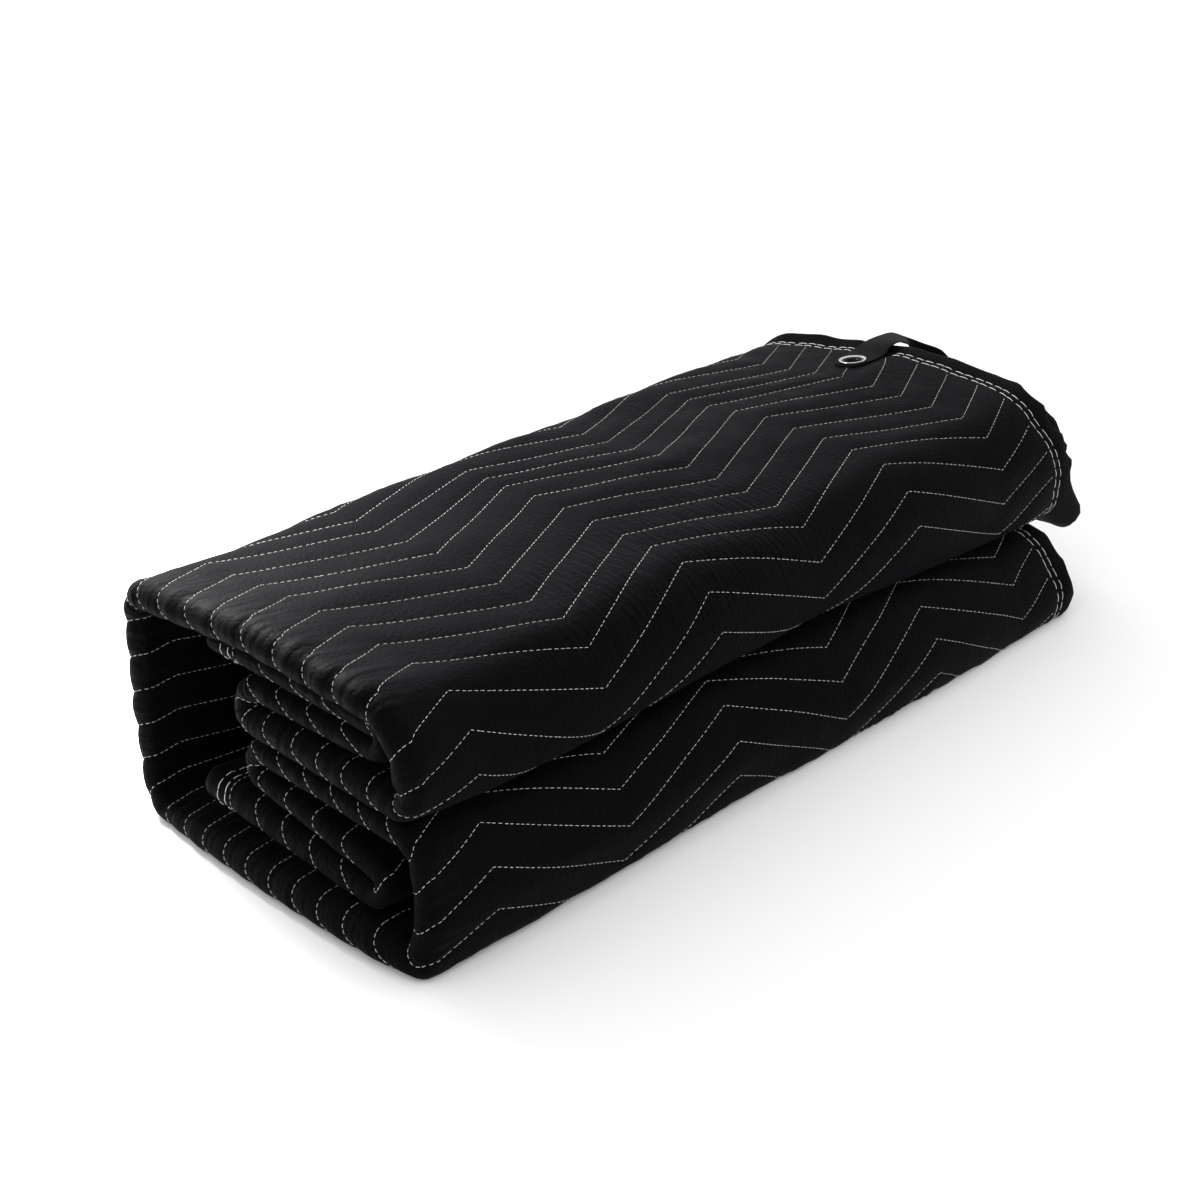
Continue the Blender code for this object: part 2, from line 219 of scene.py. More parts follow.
# The webbing from its rounded end at the eyelet, out past the hem, over and down behind it. z is
# above the cloth at the eyelet; ON_CLOTH rows lie on the cloth and UNDER_HEM rows beneath its ply.
WEBBING = 0.0024
WEBBING_LIFT = 0.0009
ON_CLOTH, UNDER_HEM = "on cloth", "under hem"
BANDS = table(
    "outer_edge inner_edge",
    ((.9030, .2610, ON_CLOTH), (.9030, .2500, ON_CLOTH)),
    ((.9050, .2680, ON_CLOTH), (.9050, .2435, ON_CLOTH)),
    ((.9120, .2735, ON_CLOTH), (.9120, .2390, ON_CLOTH)),
    ((.9250, .2785, ON_CLOTH), (.9250, .2370, ON_CLOTH)),
    ((.9550, .2840, ON_CLOTH), (.9550, .2365, ON_CLOTH)),
    ((.9900, .2850, .0030), (.9750, .2400, .0105)),
    ((1.020, .2855, .0025), (.9900, .2405, .0120)),
    ((1.038, .2830, .0015), (1.002, .2400, .0085)),
    ((1.041, .2680, .0000), (1.015, .2370, -.0010)),
    ((1.043, .2450, -.0020), (1.026, .2310, -.0380)),
    ((1.044, .2180, -.0040), (1.030, .2120, -.0480)),
    ((1.045, .2075, -.0090), (1.032, .1950, -.0530)),
    ((1.043, .1940, -.0180), (1.036, .1600, -.0480)),
    ((1.026, .1900, -.0130), (1.026, .1430, -.0200)),
    ((.9940, .1890, UNDER_HEM), (.9940, .1420, UNDER_HEM)),
    ((.9720, .1890, UNDER_HEM), (.9720, .1420, UNDER_HEM)),
)
BAND_STEPS = 8         # rows of the webbing's mesh between two bands
BAND_COLUMNS = 13


def unit(vector):
    return vector / np.linalg.norm(vector)


def units(vectors):
    return vectors / np.maximum(np.linalg.norm(vectors, axis=-1, keepdims=True), 1e-12)


def ease(share):
    share = np.clip(share, 0, 1)
    return share * share * (3 - 2 * share)


def hump(value, start, full, full_end, end):
    """0 before start, 1 from full to full_end, 0 after end."""
    return ease((value - start) / (full - start)) * ease((end - value) / (end - full_end))


def crossing(point, direction, other, other_direction):
    """Where two lines meet, or half way between their points if they are parallel."""
    lines = np.array([direction, -other_direction]).T
    if abs(np.linalg.det(lines)) < 1e-9:
        return (point + other) / 2
    return point + np.linalg.solve(lines, other - point)[0] * direction


def right_side(corners, radii, pairs):
    """The corners and radii of the sheet's right side, a pair's thickness from its left."""
    runs = []
    for start, end, first, last in zip(corners, corners[1:], pairs, pairs[1:]):
        along = unit(end - start)
        side = np.array([along[1], -along[0]])
        start, end = start + side * first, end + side * last
        runs.append((start, unit(end - start), end))
    points, turning = [runs[0][0]], [0.0]
    for i, (before, after) in enumerate(zip(runs, runs[1:]), 1):
        points.append(crossing(before[0], before[1], after[0], after[1]))
        turn = np.sign(before[1][0] * after[1][1] - before[1][1] * after[1][0])
        turning.append(max(radii[i] + turn * pairs[i], TIGHTEST_TURN))
    return np.array(points + [runs[-1][2]]), turning + [0.0]


def arc_points(centre, start, end, count):
    first = np.arctan2(*(start - centre)[::-1])
    sweep = (np.arctan2(*(end - centre)[::-1]) - first + np.pi) % (2 * np.pi) - np.pi
    angles = first + sweep * np.arange(count) / count
    radius = np.linalg.norm(start - centre)
    return [centre + radius * np.array([np.cos(a), np.sin(a)]) for a in angles]


def filleted(corners, radii, straight, arc):
    """Points along the corners' path with its turns rounded, as many at a turn in every path."""
    entering, leaving, centres = [corners[0]], [corners[0]], [None]
    for before, corner, after, radius in zip(corners, corners[1:], corners[2:], radii[1:]):
        back, onward = unit(before - corner), unit(after - corner)
        half = np.arccos(np.clip(back @ onward, -1, 1)) / 2
        entering.append(corner + back * radius / np.tan(half))
        leaving.append(corner + onward * radius / np.tan(half))
        centres.append(corner + unit(back + onward) * radius / np.sin(half))
    entering.append(corners[-1])
    points = []
    for i, count in enumerate(straight):
        if i:
            points += arc_points(centres[i], entering[i], leaving[i], arc[i])
        steps = np.arange(count)[:, None] / count
        points += list(leaving[i] + (entering[i + 1] - leaving[i]) * steps)
    return np.array(points + [corners[-1]])


def distances(points):
    """How far along its polyline every point lies."""
    return np.concatenate([[0], np.cumsum(np.linalg.norm(np.diff(points, axis=0), axis=1))])


class Fold:
    """The doubled sheet's three sections. A place is a length along the middle one's left face."""

    def __init__(self):
        middles = np.array([turn.middle[:2] for turn in TURNS])
        lengths = np.linalg.norm(np.diff(middles, axis=0), axis=1)
        self.straight = [max(1, round(length / SAMPLE_STEP)) for length in lengths]
        quarters = [(turn.middle[2] + PLY) * np.pi / 2 / SAMPLE_STEP for turn in TURNS]
        self.arc = [max(6, round(quarter)) for quarter in quarters]
        self.arc[0] = self.arc[-1] = 0
        self.left, self.right, self.pairs = [], [], []
        for part in ("near", "middle", "far"):
            self.add_section(part)
        self.place = self.shared_places()
        self.places = [self.evened_places(left) for left in self.left]
        self.setback = self.along([turn.setback for turn in TURNS])

    def add_section(self, part):
        rows = np.array([getattr(turn, part) for turn in TURNS])
        pairs = [getattr(turn, "pair_" + part) for turn in TURNS]
        corners, radii = rows[:, :2], rows[:, 2]
        self.left.append(filleted(corners, radii, self.straight, self.arc))
        other_corners, other_radii = right_side(corners, radii, pairs)
        self.right.append(filleted(other_corners, other_radii, self.straight, self.arc))
        self.pairs.append(self.along(pairs))

    def shared_places(self):
        """Places by the left side's length, and round a tight turn by the mean of both sides'."""
        place = distances(self.left[1])
        mean = (place + distances(self.right[1])) / 2
        for turn in TIGHT_TURNS:
            middle = place[round(self.middles()[turn])]
            ends = (middle - TIGHT_REACH, middle + TIGHT_REACH)
            first, last = np.searchsorted(place, ends)
            share = (mean[first:last] - mean[first]) / (mean[last] - mean[first])
            place[first:last] = place[first] + (place[last] - place[first]) * share
        return place

    def evened_places(self, left):
        place = self.place.copy()
        along = distances(left)
        for run in EVENED_RUNS:
            first, last = [round(self.middles()[turn]) for turn in run]
            ends = [first, last]
            place[first:last] = np.interp(along[first:last], along[ends], self.place[ends])
        return place

    def middles(self):
        """The count of the path's point in the middle of every turn."""
        starts = np.concatenate([[0], np.cumsum(np.array(self.arc[:-1]) + self.straight)])
        return starts + np.array(self.arc) / 2

    def along(self, values):
        """A value for every point of the path, from one for every turn."""
        middles = self.middles()
        return np.interp(np.arange(round(middles[-1]) + 1), middles, values)

    def of(self, values, place):
        return np.interp(place, self.place, values)

    def blended(self, sections, place, x):
        """A value from the near, middle and far sections, as their shares are at x."""
        near = np.clip(1 - x / NEAR_REACH, 0, 1) ** 2
        far = ease((x / LENGTH - FAR_START) / (1 - FAR_START))
        shares = (near, 1 - near - far, far)
        parts = zip(shares, self.places, sections)
        return sum(share * np.interp(place, places, part) for share, places, part in parts)

    def pair(self, place, x):
        return self.blended(self.pairs, place, x)

    def point(self, place, x, depth):
        """The point at a place and a length x, a share of the way from the left to the right."""
        found = [x + 0 * place]
        for axis in (0, 1):
            left = self.blended([part[:, axis] for part in self.left], place, x)
            right = self.blended([part[:, axis] for part in self.right], place, x)
            found.append(left + (right - left) * depth)
        return np.stack(np.broadcast_arrays(*found), axis=-1)


FOLD = Fold()
FOLD_END = FOLD.place[-1]


def in_table(rows, column, at, key="place"):
    """A table's column between its rows, at values of its key."""
    keys = [getattr(row, key) for row in rows]
    return np.interp(at, keys, [getattr(row, column) for row in rows])


def zigzag(across):
    """A quilting line's way sideways, at a distance from the hem."""
    turn = ((across - FIRST_VALLEY) / (2 * ZIGZAG_HALF)) % 1.0
    return ZIGZAG_RISE * (0.5 - np.abs(1 - 2 * turn))


def line_place(lines):
    return in_table(QUILTING, "place", lines, key="line")


def drift(lines, signed_x):
    """How far a line has slipped along the fold, between the kinks as at them."""
    kinks = DRIFT[0]._fields[1:]
    kink = len(kinks) - (LENGTH - FIRST_VALLEY - signed_x) / ZIGZAG_HALF - 1
    kink = np.clip(kink, 0, len(kinks) - 1)
    total = 0
    for i, name in enumerate(kinks):
        slipped = in_table(DRIFT, name, lines, key="line")
        total = total + slipped * np.clip(1 - np.abs(kink - i), 0, 1)
    return total


def place_of(lines, signed_x):
    """Where a column is on the fold. Past the nose signed_x is negative, on the right ply."""
    inside = ease(np.minimum(lines, LINES - lines) / 2.5)
    on_right = ease(0.5 - signed_x / 0.04)
    swing = zigzag(LENGTH - signed_x + NOSE_WRAP * on_right) * (1 - INNER_CALM * on_right)
    place = line_place(lines) + drift(lines, signed_x) + swing * inside
    return np.clip(place, 0, FOLD_END)


def ply_at(x):
    return PLY + (HEM_PLY - PLY) * ease((x - HEM_START) / (HEM_PRESSED - HEM_START))


def column_lines():
    """The columns, counted in quilting lines: whole numbers lie on a line."""
    lines = []
    for line in range(LINES):
        if line == 0:
            shares = EDGE_COLUMNS
        elif line == LINES - 1:
            shares = [0] + [1 - share for share in reversed(EDGE_COLUMNS[1:])]
        else:
            shares = next(run.shares for run in COLUMN_RUNS if line < run.up_to)
        lines += [line + share for share in shares]
    return np.array(lines + [LINES], float)[:, None]


def waves(first, second, length, seed, count=7):
    """An even, never quite repeating ripple of about that wavelength, from -1 to 1."""
    chance = np.random.default_rng(seed)
    total = 0
    for _ in range(count):
        angle, phase = chance.uniform(0, 2 * np.pi, 2)
        size = 2 * np.pi / length * chance.uniform(0.75, 1.35)
        total = total + np.cos(size * (first * np.cos(angle) + second * np.sin(angle)) + phase)
    return total / np.sqrt(count / 2) / 1.6


def hem_edge(side, place):
    """X of a ply's hem."""
    return LENGTH + in_table(HEMS, side, place) + 0.0008 * waves(place, 0, .05, 4)


def settled(lines, signed_x_at):
    """The place of a column in a row whose x depends on the place."""
    place = line_place(lines)
    for _ in range(4):
        place = place_of(lines, signed_x_at(place))
    return place


class Face:
    """The cloth's outer face as a grid, column by row, from the left hem round the nose to the
    right hem. depth is 0 on the left ply and 1 on the right; signed_x is negative on the right."""

    def __init__(self, lines):
        self.lines = lines
        self.rows = []
        self.add_ply("left", 1, LEFT_ROWS)
        for step in range(1, NOSE_STEPS):
            self.add_nose(np.pi * step / NOSE_STEPS)
        self.add_ply("right", -1, RIGHT_ROWS)
        whole = np.zeros_like(lines)
        columns = [np.concatenate([whole + row[i] for row in self.rows], axis=1) for i in range(4)]
        self.place, self.signed_x, self.from_hem, self.depth = columns
        self.x = np.abs(self.signed_x)
        self.nose = (self.depth > 0) & (self.depth < 1)

    def add_ply(self, side, sign, even_rows):
        """A ply's rows from its hem to the nose, or the other way round on the right."""
        step = ZIGZAG_HALF / even_rows
        farthest = LENGTH - FIRST_VALLEY + 2 * step
        even = np.arange(farthest, NEAREST_EVEN - step / 2, -step)

        def hem(distance):
            return lambda place: hem_edge(side, place) - distance

        def beyond(share):
            return lambda place: farthest + (hem(FROM_HEM[-1])(place) - farthest) * (1 - share)

        def near(share):
            return lambda place: nose_start(place) + (NEAREST_EVEN - nose_start(place)) * share

        ways = [hem(distance) for distance in FROM_HEM] + [beyond(share) for share in TO_HEM]
        ways += [lambda place, x=x: x + 0 * place for x in even]
        ways += [near(share) for share in TO_NOSE]
        for x_at in ways[::sign]:
            place = settled(self.lines, lambda place: sign * x_at(place))
            x = x_at(place)
            self.rows.append((place, sign * x, hem_edge(side, place) - x, (1 - sign) / 2))

    def add_nose(self, angle):
        place = settled(self.lines, lambda place: nose_start(place) * np.cos(angle))
        start = nose_start(place)
        x = start - FOLD.pair(place, start) / 2 * np.sin(angle)
        signed_x = np.where(angle <= np.pi / 2, x, -x)
        self.rows.append((place, signed_x, LENGTH - x, (1 - np.cos(angle)) / 2))

    def points(self):
        """The face itself. On the nose, both sides are taken where the nose starts."""
        across = np.where(self.nose, nose_start(self.place), self.x)
        points = FOLD.point(self.place, across, self.depth)
        points[..., 0] = self.x
        return points

    def inside_points(self):
        """The same rows and columns on the plies' other face, between them."""
        start = nose_start(self.place)
        across = np.where(self.nose, start, self.x)
        share = ply_at(across) / FOLD.pair(self.place, across)
        points = FOLD.point(self.place, across, 0.5 + (self.depth - 0.5) * (1 - 2 * share))
        reach = FOLD.pair(self.place, start) / 2
        hollow = start - (start - self.x) * (reach - PLY) / reach
        points[..., 0] = np.where(self.nose, hollow, self.x)
        return points


def nose_start(place):
    """X at which the half turn at the folded end begins."""
    return FOLD.of(FOLD.setback, place) + FOLD.of(FOLD.pairs[0], place) / 2


def normals_of(points):
    """A grid's normals, pointing out of the sheet's left face."""
    along = np.gradient(points, axis=0)
    across = np.gradient(points, axis=1)
    return units(np.cross(along, across))


def measured_origin():
    """The fold's own corner in the row frame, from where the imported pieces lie."""
    low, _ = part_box("blanket")
    eyelet_low, eyelet_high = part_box("eyelet")
    return np.array([low.x, (eyelet_low.y + eyelet_high.y) / 2 - EYELET_Y, low.z])


ORIGIN = measured_origin()


# Stretches of the fold, each as hump() takes it, in places or in lines
NOSE_STRETCH = (.66, .74, 1.08, 1.17)
SPINE_STRETCH = (1.00, 1.12, 1.22, 1.32)
FOOT_STRETCH = (1.70, 1.75, 1.80, 1.87)
BOTTOM_STRETCH = (1.38, 1.47, 1.71, 1.76)
CORNER_STRETCH = (.55, .61, .660, .70)
BEND_STRETCH = (.69, .76, .84, .92)
BEND_LENGTH = (.10, .22, .50, .66)          # in x
UPPER_FRONT_LINES = (14, 15.5, 19, 21)
LOWER_FRONT_LINES = (45, 46.5, 51, 53)

# Where the cloth is free to puff up, from 0, pressed flat, to 1
FREEDOM = table(
    "place left right",
    (0.00, .12, .12),
    (0.62, .15, .12),
    (0.69, 1.0, .12),
    (1.00, 1.0, .15),
    (1.10, 1.0, .70),
    (1.32, 1.0, .80),
    (1.39, .25, .60),
    (1.50, .20, .15),
    (1.73, .20, .12),
    (1.78, 1.0, .12),
    (1.90, 1.0, .12),
    (1.96, .12, .12),
    (2.57, .12, .12),
)
PUFF = 0.0013          # how far the quilting stands up between two lines
NOSE_PUFF = 0.0006     # how much more it stands up on the folded end
GROOVE = 0.0006        # how far a line of stitches is drawn in
SEAM_GROOVE = 0.0007
SEAM_WIDTH = 0.0016
HEM_PUFF = 0.0008      # how far the hem's band stands up
HEM_ROUND = 0.0040     # the hem's edge is rounded over this length
HEM_POINT = 0.0100     # how far the hem's points stand out past what lies between them
LONG_WAVE, SHORT_WAVE = (0.0016, 0.30), (0.0007, 0.10)    # the slack cloth's, height and length
HEM_RIPPLE, HEM_RIPPLE_REACH = (0.0008, 0.055), 0.03
NOSE_SWELL, NOSE_REACH = 0.0060, 0.100      # how far the folded end swells, and up to which x
SPINE_SWELL = 0.0038
FOOT_SWELL = 0.0090
BOTTOM_SWELL = 0.0060
CRUMPLE_REACH = 0.09   # how far from the folded end its fine creases go


def freedom_of(face):
    left = in_table(FREEDOM, "left", face.place)
    right = in_table(FREEDOM, "right", face.place)
    return left + (right - left) * face.depth


def quilting(face, free, normals):
    """The pillows between the lines, which fade out towards the hem's seams."""
    share = face.lines % 1.0
    pillow = np.sin(np.pi * share) ** 0.75
    fading = ease((face.from_hem - 0.033) / 0.02)
    uneven = 1 + 0.28 * waves(face.lines * 0.04, face.signed_x, 0.045, seed=1)
    facing = np.maximum(-normals[..., 0], 0)
    height = PUFF * free + NOSE_PUFF * facing
    return (pillow * uneven * height - GROOVE * (1 - pillow) * (free + facing)) * fading


def hem_band(face):
    """The hem's band stands up between its edge and its seams, and the seams draw it in."""
    band = HEM_PUFF * hump(face.from_hem, 0, .008, .014, .021)
    seams = sum(
        SEAM_GROOVE * np.exp(-(((face.from_hem - seam) / SEAM_WIDTH) ** 2)) for seam in HEM_SEAMS
    )
    return band - seams


def slack(face, free):
    """The cloth's own unevenness: long soft waves, shorter ones, and ripples along the hem."""
    long_waves = LONG_WAVE[0] * waves(face.place, face.signed_x, LONG_WAVE[1], seed=2)
    short_waves = SHORT_WAVE[0] * waves(face.place, face.signed_x, SHORT_WAVE[1], seed=3)
    at_hem = np.exp(-np.maximum(face.from_hem, 0) / HEM_RIPPLE_REACH)
    ripples = waves(face.place, 0.3 * face.signed_x, HEM_RIPPLE[1], seed=5)
    ripples = HEM_RIPPLE[0] * at_hem * ripples
    return (long_waves + short_waves) * free + ripples * np.minimum(1, free + 0.3)


def near_nose(face, reach):
    """From 1 at the folded end's tip to 0 at its reach."""
    return ease((reach - face.x) / reach)


def swelling(face):
    """The outer layer stands out at the folded end, over the spine and at the front's foot. The
    bottom layer's folded end is full inside too."""
    nose = NOSE_SWELL * hump(face.place, *NOSE_STRETCH) * near_nose(face, NOSE_REACH)
    spine = SPINE_SWELL * hump(face.place, *SPINE_STRETCH)
    foot = FOOT_SWELL * hump(face.place, *FOOT_STRETCH) * ease((face.x - 0.30) / 0.30)
    inside = BOTTOM_SWELL * hump(face.place, *BOTTOM_STRETCH) * ease((0.15 - face.x) / 0.13)
    return (nose + spine + foot) * (1 - face.depth) + inside * face.depth


def hem_points(lines):
    """How far the hem's edge stands out at its points, or is drawn in between them."""
    front = hump(lines, *UPPER_FRONT_LINES) + 0.6 * hump(lines, *LOWER_FRONT_LINES)
    return HEM_POINT * (0.75 - np.abs(np.sin(np.pi * (lines + 0.20)))) * front


# How far the bottom layer's folded end reaches out past the others
REACHES = table(
    "place out",
    (1.33, .000),
    (1.37, .008),
    (1.45, .012),
    (1.55, .016),
    (1.66, .017),
    (1.74, .014),
    (1.80, .004),
    (1.86, .000),
)


def shifted(face, points):
    """Points of either face where the bottom's folded end reaches out and the hem hangs free."""
    points = points.copy()
    points[..., 0] -= in_table(REACHES, "out", face.place) * near_nose(face, NOSE_REACH)
    edge = np.clip(1 - face.from_hem / HEM_SEAMS[0], 0, 1) ** 1.5
    loose = edge * (1 - face.depth)
    corner = hump(face.place, *CORNER_STRETCH) * loose
    points[..., 0] += HEM_CORNER[0] * corner + hem_points(face.lines) * edge
    points[..., 2] += HEM_CORNER[1] * corner + in_table(HEMS, "curl", face.place) * loose
    return points


def rounding(face):
    """How far the face turns in towards the middle of its ply at the cloth's edges."""
    edge = np.minimum(face.from_hem, np.minimum(face.place, FOLD_END - face.place))
    share = np.clip(1 - edge / HEM_ROUND, 0, 1)
    return HEM_PLY / 2 * (1 - np.sqrt(1 - share ** 2))


# Where the eyelet and the webbing press the cloth flat, and where the webbing covers stitches
PRESSED_RADIUS, PRESSED_FADE = 0.019, 0.016
PRESSED_X, PRESSED_Y = (.880, .897, 1.03, 1.05), (.222, .236, .286, .298)
COVERED_FROM_X, COVERED_Y = .902, (.2350, .2860)


def under_eyelet(points):
    """1 beneath the eyelet's flange and the webbing, where the cloth is pressed flat."""
    x, y, z = np.moveaxis(points, -1, 0)
    away = np.hypot(x - EYELET_X, y - EYELET_Y)
    ring = 1 - ease((away - PRESSED_RADIUS) / PRESSED_FADE)
    band = hump(x, *PRESSED_X) * hump(y, *PRESSED_Y)
    return np.maximum(ring, band) * (z > TOP_ONLY)


def dress(face):
    """The outer face's points with all its detail, and the inner face's."""
    flat = face.points()
    normals = normals_of(flat)
    free = freedom_of(face)
    height = quilting(face, free, normals) + slack(face, free)
    height = (height + swelling(face)) * (1 - under_eyelet(flat)) + hem_band(face)
    turned_in = rounding(face)
    outer = shifted(face, flat + normals * (height - turned_in)[..., None])
    inner = shifted(face, face.inside_points() + normals * turned_in[..., None])
    outer[..., 2] = np.maximum(outer[..., 2], 0.0002 * (1 - np.sin(np.pi * (face.lines % 1))))
    return outer, inner


def make_mesh(name, points, faces):
    mesh = bpy.data.meshes.new(name)
    mesh.from_pydata((np.asarray(points).reshape(-1, 3) + ORIGIN).tolist(), [], faces)
    mesh.validate()
    mesh.shade_smooth()
    piece = bpy.data.objects.new(name, mesh)
    bpy.context.scene.collection.objects.link(piece)
    return piece


def store(piece, name, vectors):
    """Keeps a vector with every vertex, for the material."""
    made = piece.data.attributes.new(name, "FLOAT_VECTOR", "POINT")
    made.data.foreach_set("vector", np.asarray(vectors, np.float32).ravel())


def grid_faces(index):
    """Quads of a grid of vertex numbers."""
    corners = (index[:-1, :-1], index[1:, :-1], index[1:, 1:], index[:-1, 1:])
    return np.stack([corner.ravel() for corner in corners], axis=1).tolist()


def fan(polygon, start):
    """The triangles of a polygon that all share one of its vertices."""
    at = polygon.index(start)
    turned = polygon[at:] + polygon[:at]
    return [[start, second, third] for second, third in zip(turned[1:], turned[2:])]


def inner_rows(face):
    """Fewer rows do between the plies, where little shows."""
    count = face.place.shape[1]
    kept = set(range(0, count, 4)) | {2, 4, 7, 10, count - 1, count - 3, count - 5}
    kept |= {row for row in range(count) if face.nose[0, row] and row % 2}
    return sorted(kept)


def make_blanket(face, outer, inner):
    """The cloth, and the vectors for its material. Its outer and inner face share their vertices
    along its four edges."""
    columns, rows = outer.shape[:2]
    kept = inner_rows(face)
    outer_index = np.arange(columns * rows).reshape(columns, rows)
    inner_index = columns * rows + np.arange(columns * len(kept)).reshape(columns, len(kept))
    inner_index[:, 0] = outer_index[:, 0]
    inner_index[:, -1] = outer_index[:, -1]
    inner_index[0] = outer_index[0, kept]
    inner_index[-1] = outer_index[-1, kept]
    faces = grid_faces(outer_index[:, ::-1])
    faces += grid_faces(inner_index[1:-1])
    for edge, beside, turn in ((0, 1, 1), (-1, -2, -1)):
        for i, (first, last) in enumerate(zip(kept, kept[1:])):
            border = outer_index[edge, first:last + 1].tolist()
            inside = inner_index[beside, i:i + 2].tolist()
            polygon = (border[::-1] + inside)[::turn]
            corner = set(polygon) & {outer_index[edge, 0], outer_index[edge, -1]}
            faces += fan(polygon, corner.pop()) if corner else [polygon]
    points = np.concatenate([outer.reshape(-1, 3), inner[:, kept].reshape(-1, 3)])
    vectors = {}
    for name, values in (("cloth", cloth_coordinates(face)), ("creasing", creasing(face))):
        both = (values.reshape(-1, 3), values[:, kept].reshape(-1, 3))
        vectors[name] = np.concatenate(both)
    return make_mesh("quilted_blanket", points, faces), vectors


def cloth_coordinates(face):
    return np.stack([face.place, face.signed_x, 0 * face.place], axis=-1)


def creasing(face):
    """How much of three sorts of fine crease shows: on the bend, along the quilting lines and at
    the folded end."""
    bend = hump(face.place, *BEND_STRETCH) * hump(face.x, *BEND_LENGTH) * (1 - face.depth)
    to_line = np.abs((face.lines + 0.5) % 1 - 0.5)
    pucker = np.exp(-((to_line / 0.16) ** 2)) * ease((face.from_hem - .03) / .02)
    return np.stack([bend, pucker, near_nose(face, CRUMPLE_REACH)], axis=-1)


def resampled(line, normals, at):
    """Points and normals of a polyline at distances along it."""
    along = distances(line)
    points = np.stack([np.interp(at, along, line[:, k]) for k in range(3)], axis=-1)
    turned = np.stack([np.interp(at, along, normals[:, k]) for k in range(3)], axis=-1)
    return points, units(turned)


# A stitch is a short bead of thread: its rings' place along it, their radius and their lift
STITCH_RINGS = table(
    "along radius lift",
    (0.00, 0.45, -1.0),
    (0.12, 0.90, 0.1),
    (0.50, 1.00, 0.9),
    (0.88, 0.90, 0.1),
    (1.00, 0.45, -1.0),
)
STITCH_SIDES = 4


def stitch_rows(line, normals, stitch, seed):
    """The rings of every stitch along a line, as stitch by ring by side."""
    chance = np.random.default_rng(seed)
    count = int(distances(line)[-1] / stitch.pitch)
    if count < 1:
        return np.zeros((0, len(STITCH_RINGS), STITCH_SIDES, 3))
    starts = (np.arange(count) + 0.12 * chance.uniform(-1, 1, count)) * stitch.pitch
    lengths = stitch.thread * stitch.pitch * chance.uniform(0.93, 1.05, count)
    at = starts[:, None] + lengths[:, None] * np.array([ring.along for ring in STITCH_RINGS])
    points, turned = resampled(line, normals, at.ravel())
    points = points.reshape(count, len(STITCH_RINGS), 3)
    turned = turned.reshape(points.shape)
    onward = units(np.gradient(points, axis=1))
    aside = units(np.cross(onward, turned))
    aside_shift = stitch.radius * 0.35 * chance.uniform(-1, 1, (count, 1, 1))
    lift = np.array([ring.lift for ring in STITCH_RINGS])[:, None] * stitch.rise
    centre = points + turned * (lift + stitch.radius * 0.4) + aside * aside_shift
    radius = stitch.radius * np.array([ring.radius for ring in STITCH_RINGS])[:, None]
    angles = 2 * np.pi * np.arange(STITCH_SIDES) / STITCH_SIDES
    rings = [
        centre + radius * (aside * np.cos(angle) + 0.8 * turned * np.sin(angle))
        for angle in angles
    ]
    return np.stack(rings, axis=2)


def clear_of_webbing(rows):
    """Leaves out the stitches that the webbing covers, and keeps the rest off the floor."""
    x, y, z = np.moveaxis(rows.mean(axis=(1, 2)), -1, 0)
    beside = (y > COVERED_Y[0]) & (y < COVERED_Y[1])
    covered = (x > COVERED_FROM_X) & beside & (z > TOP_ONLY)
    rows = rows[~covered]
    rows[..., 2] = np.maximum(rows[..., 2], 0)
    return rows


def make_stitches(name, rows):
    rows = clear_of_webbing(np.concatenate(rows))
    count, rings, sides = rows.shape[:3]
    index = np.arange(count * rings * sides).reshape(count, rings, sides)
    around = np.concatenate([index, index[:, :, :1]], axis=2)
    quads = np.stack(
        [around[:, :-1, :-1], around[:, :-1, 1:], around[:, 1:, 1:], around[:, 1:, :-1]], axis=-1
    )
    faces = quads.reshape(-1, 4).tolist()
    faces += index[:, 0, ::-1].tolist() + index[:, -1].tolist()
    return make_mesh(name, rows, faces)


# The quilting's stitches, in pieces. Where only the ends of a line can be seen, the rest is left out
STITCH_GROUPS = table(
    "name first last left_whole right_whole",
    ("stitches_upper_roll", 1, 16, False, False),
    ("stitches_front", 17, 21, True, False),
    ("stitches_top", 22, 28, True, False),
    ("stitches_spine", 29, 35, True, True),
    ("stitches_underside", 36, 46, True, False),
    ("stitches_lower_front", 47, 52, True, False),
    ("stitches_lower_roll", 53, 66, False, False),
)
SEEN_NEAR, SEEN_FAR = 0.16, 0.86    # what can be seen of a hidden layer lies outside these


def runs_of(kept):
    """First and last index of each unbroken run of True."""
    edges = np.flatnonzero(np.diff(np.concatenate([[0], kept.astype(int), [0]])))
    return [(first, last - 1) for first, last in edges.reshape(-1, 2) if last - first > 1]


def sewn(cloth, column, kept, stitch, seed):
    """The stitches down a column of the cloth, where they are kept."""
    _, outer, normals = cloth
    parts = [slice(first, last + 1) for first, last in runs_of(kept)]
    return [stitch_rows(outer[column, part], normals[column, part], stitch, seed) for part in parts]


def quilting_stitches(group, cloth):
    face = cloth[0]
    rows = []
    for line in range(group.first, group.last + 1):
        column = int(np.flatnonzero(face.lines[:, 0] == line)[0])
        x, on_left = face.x[column], face.depth[column] < 0.5
        whole = np.where(on_left, group.left_whole, group.right_whole)
        kept = (face.from_hem[column] > LINE_END) & (whole | (x < SEEN_NEAR) | (x > SEEN_FAR))
        rows += sewn(cloth, column, kept, QUILT_STITCH, seed=line)
    return make_stitches(group.name, rows)


def hem_stitches(cloth):
    face, outer, normals = cloth
    rows = []
    for seam in HEM_SEAMS:
        for row in np.flatnonzero(np.isclose(face.from_hem[0], seam, atol=1e-5)):
            rows.append(stitch_rows(outer[:, row], normals[:, row], HEM_STITCH, seed=row))
    return make_stitches("stitches_hems", rows)


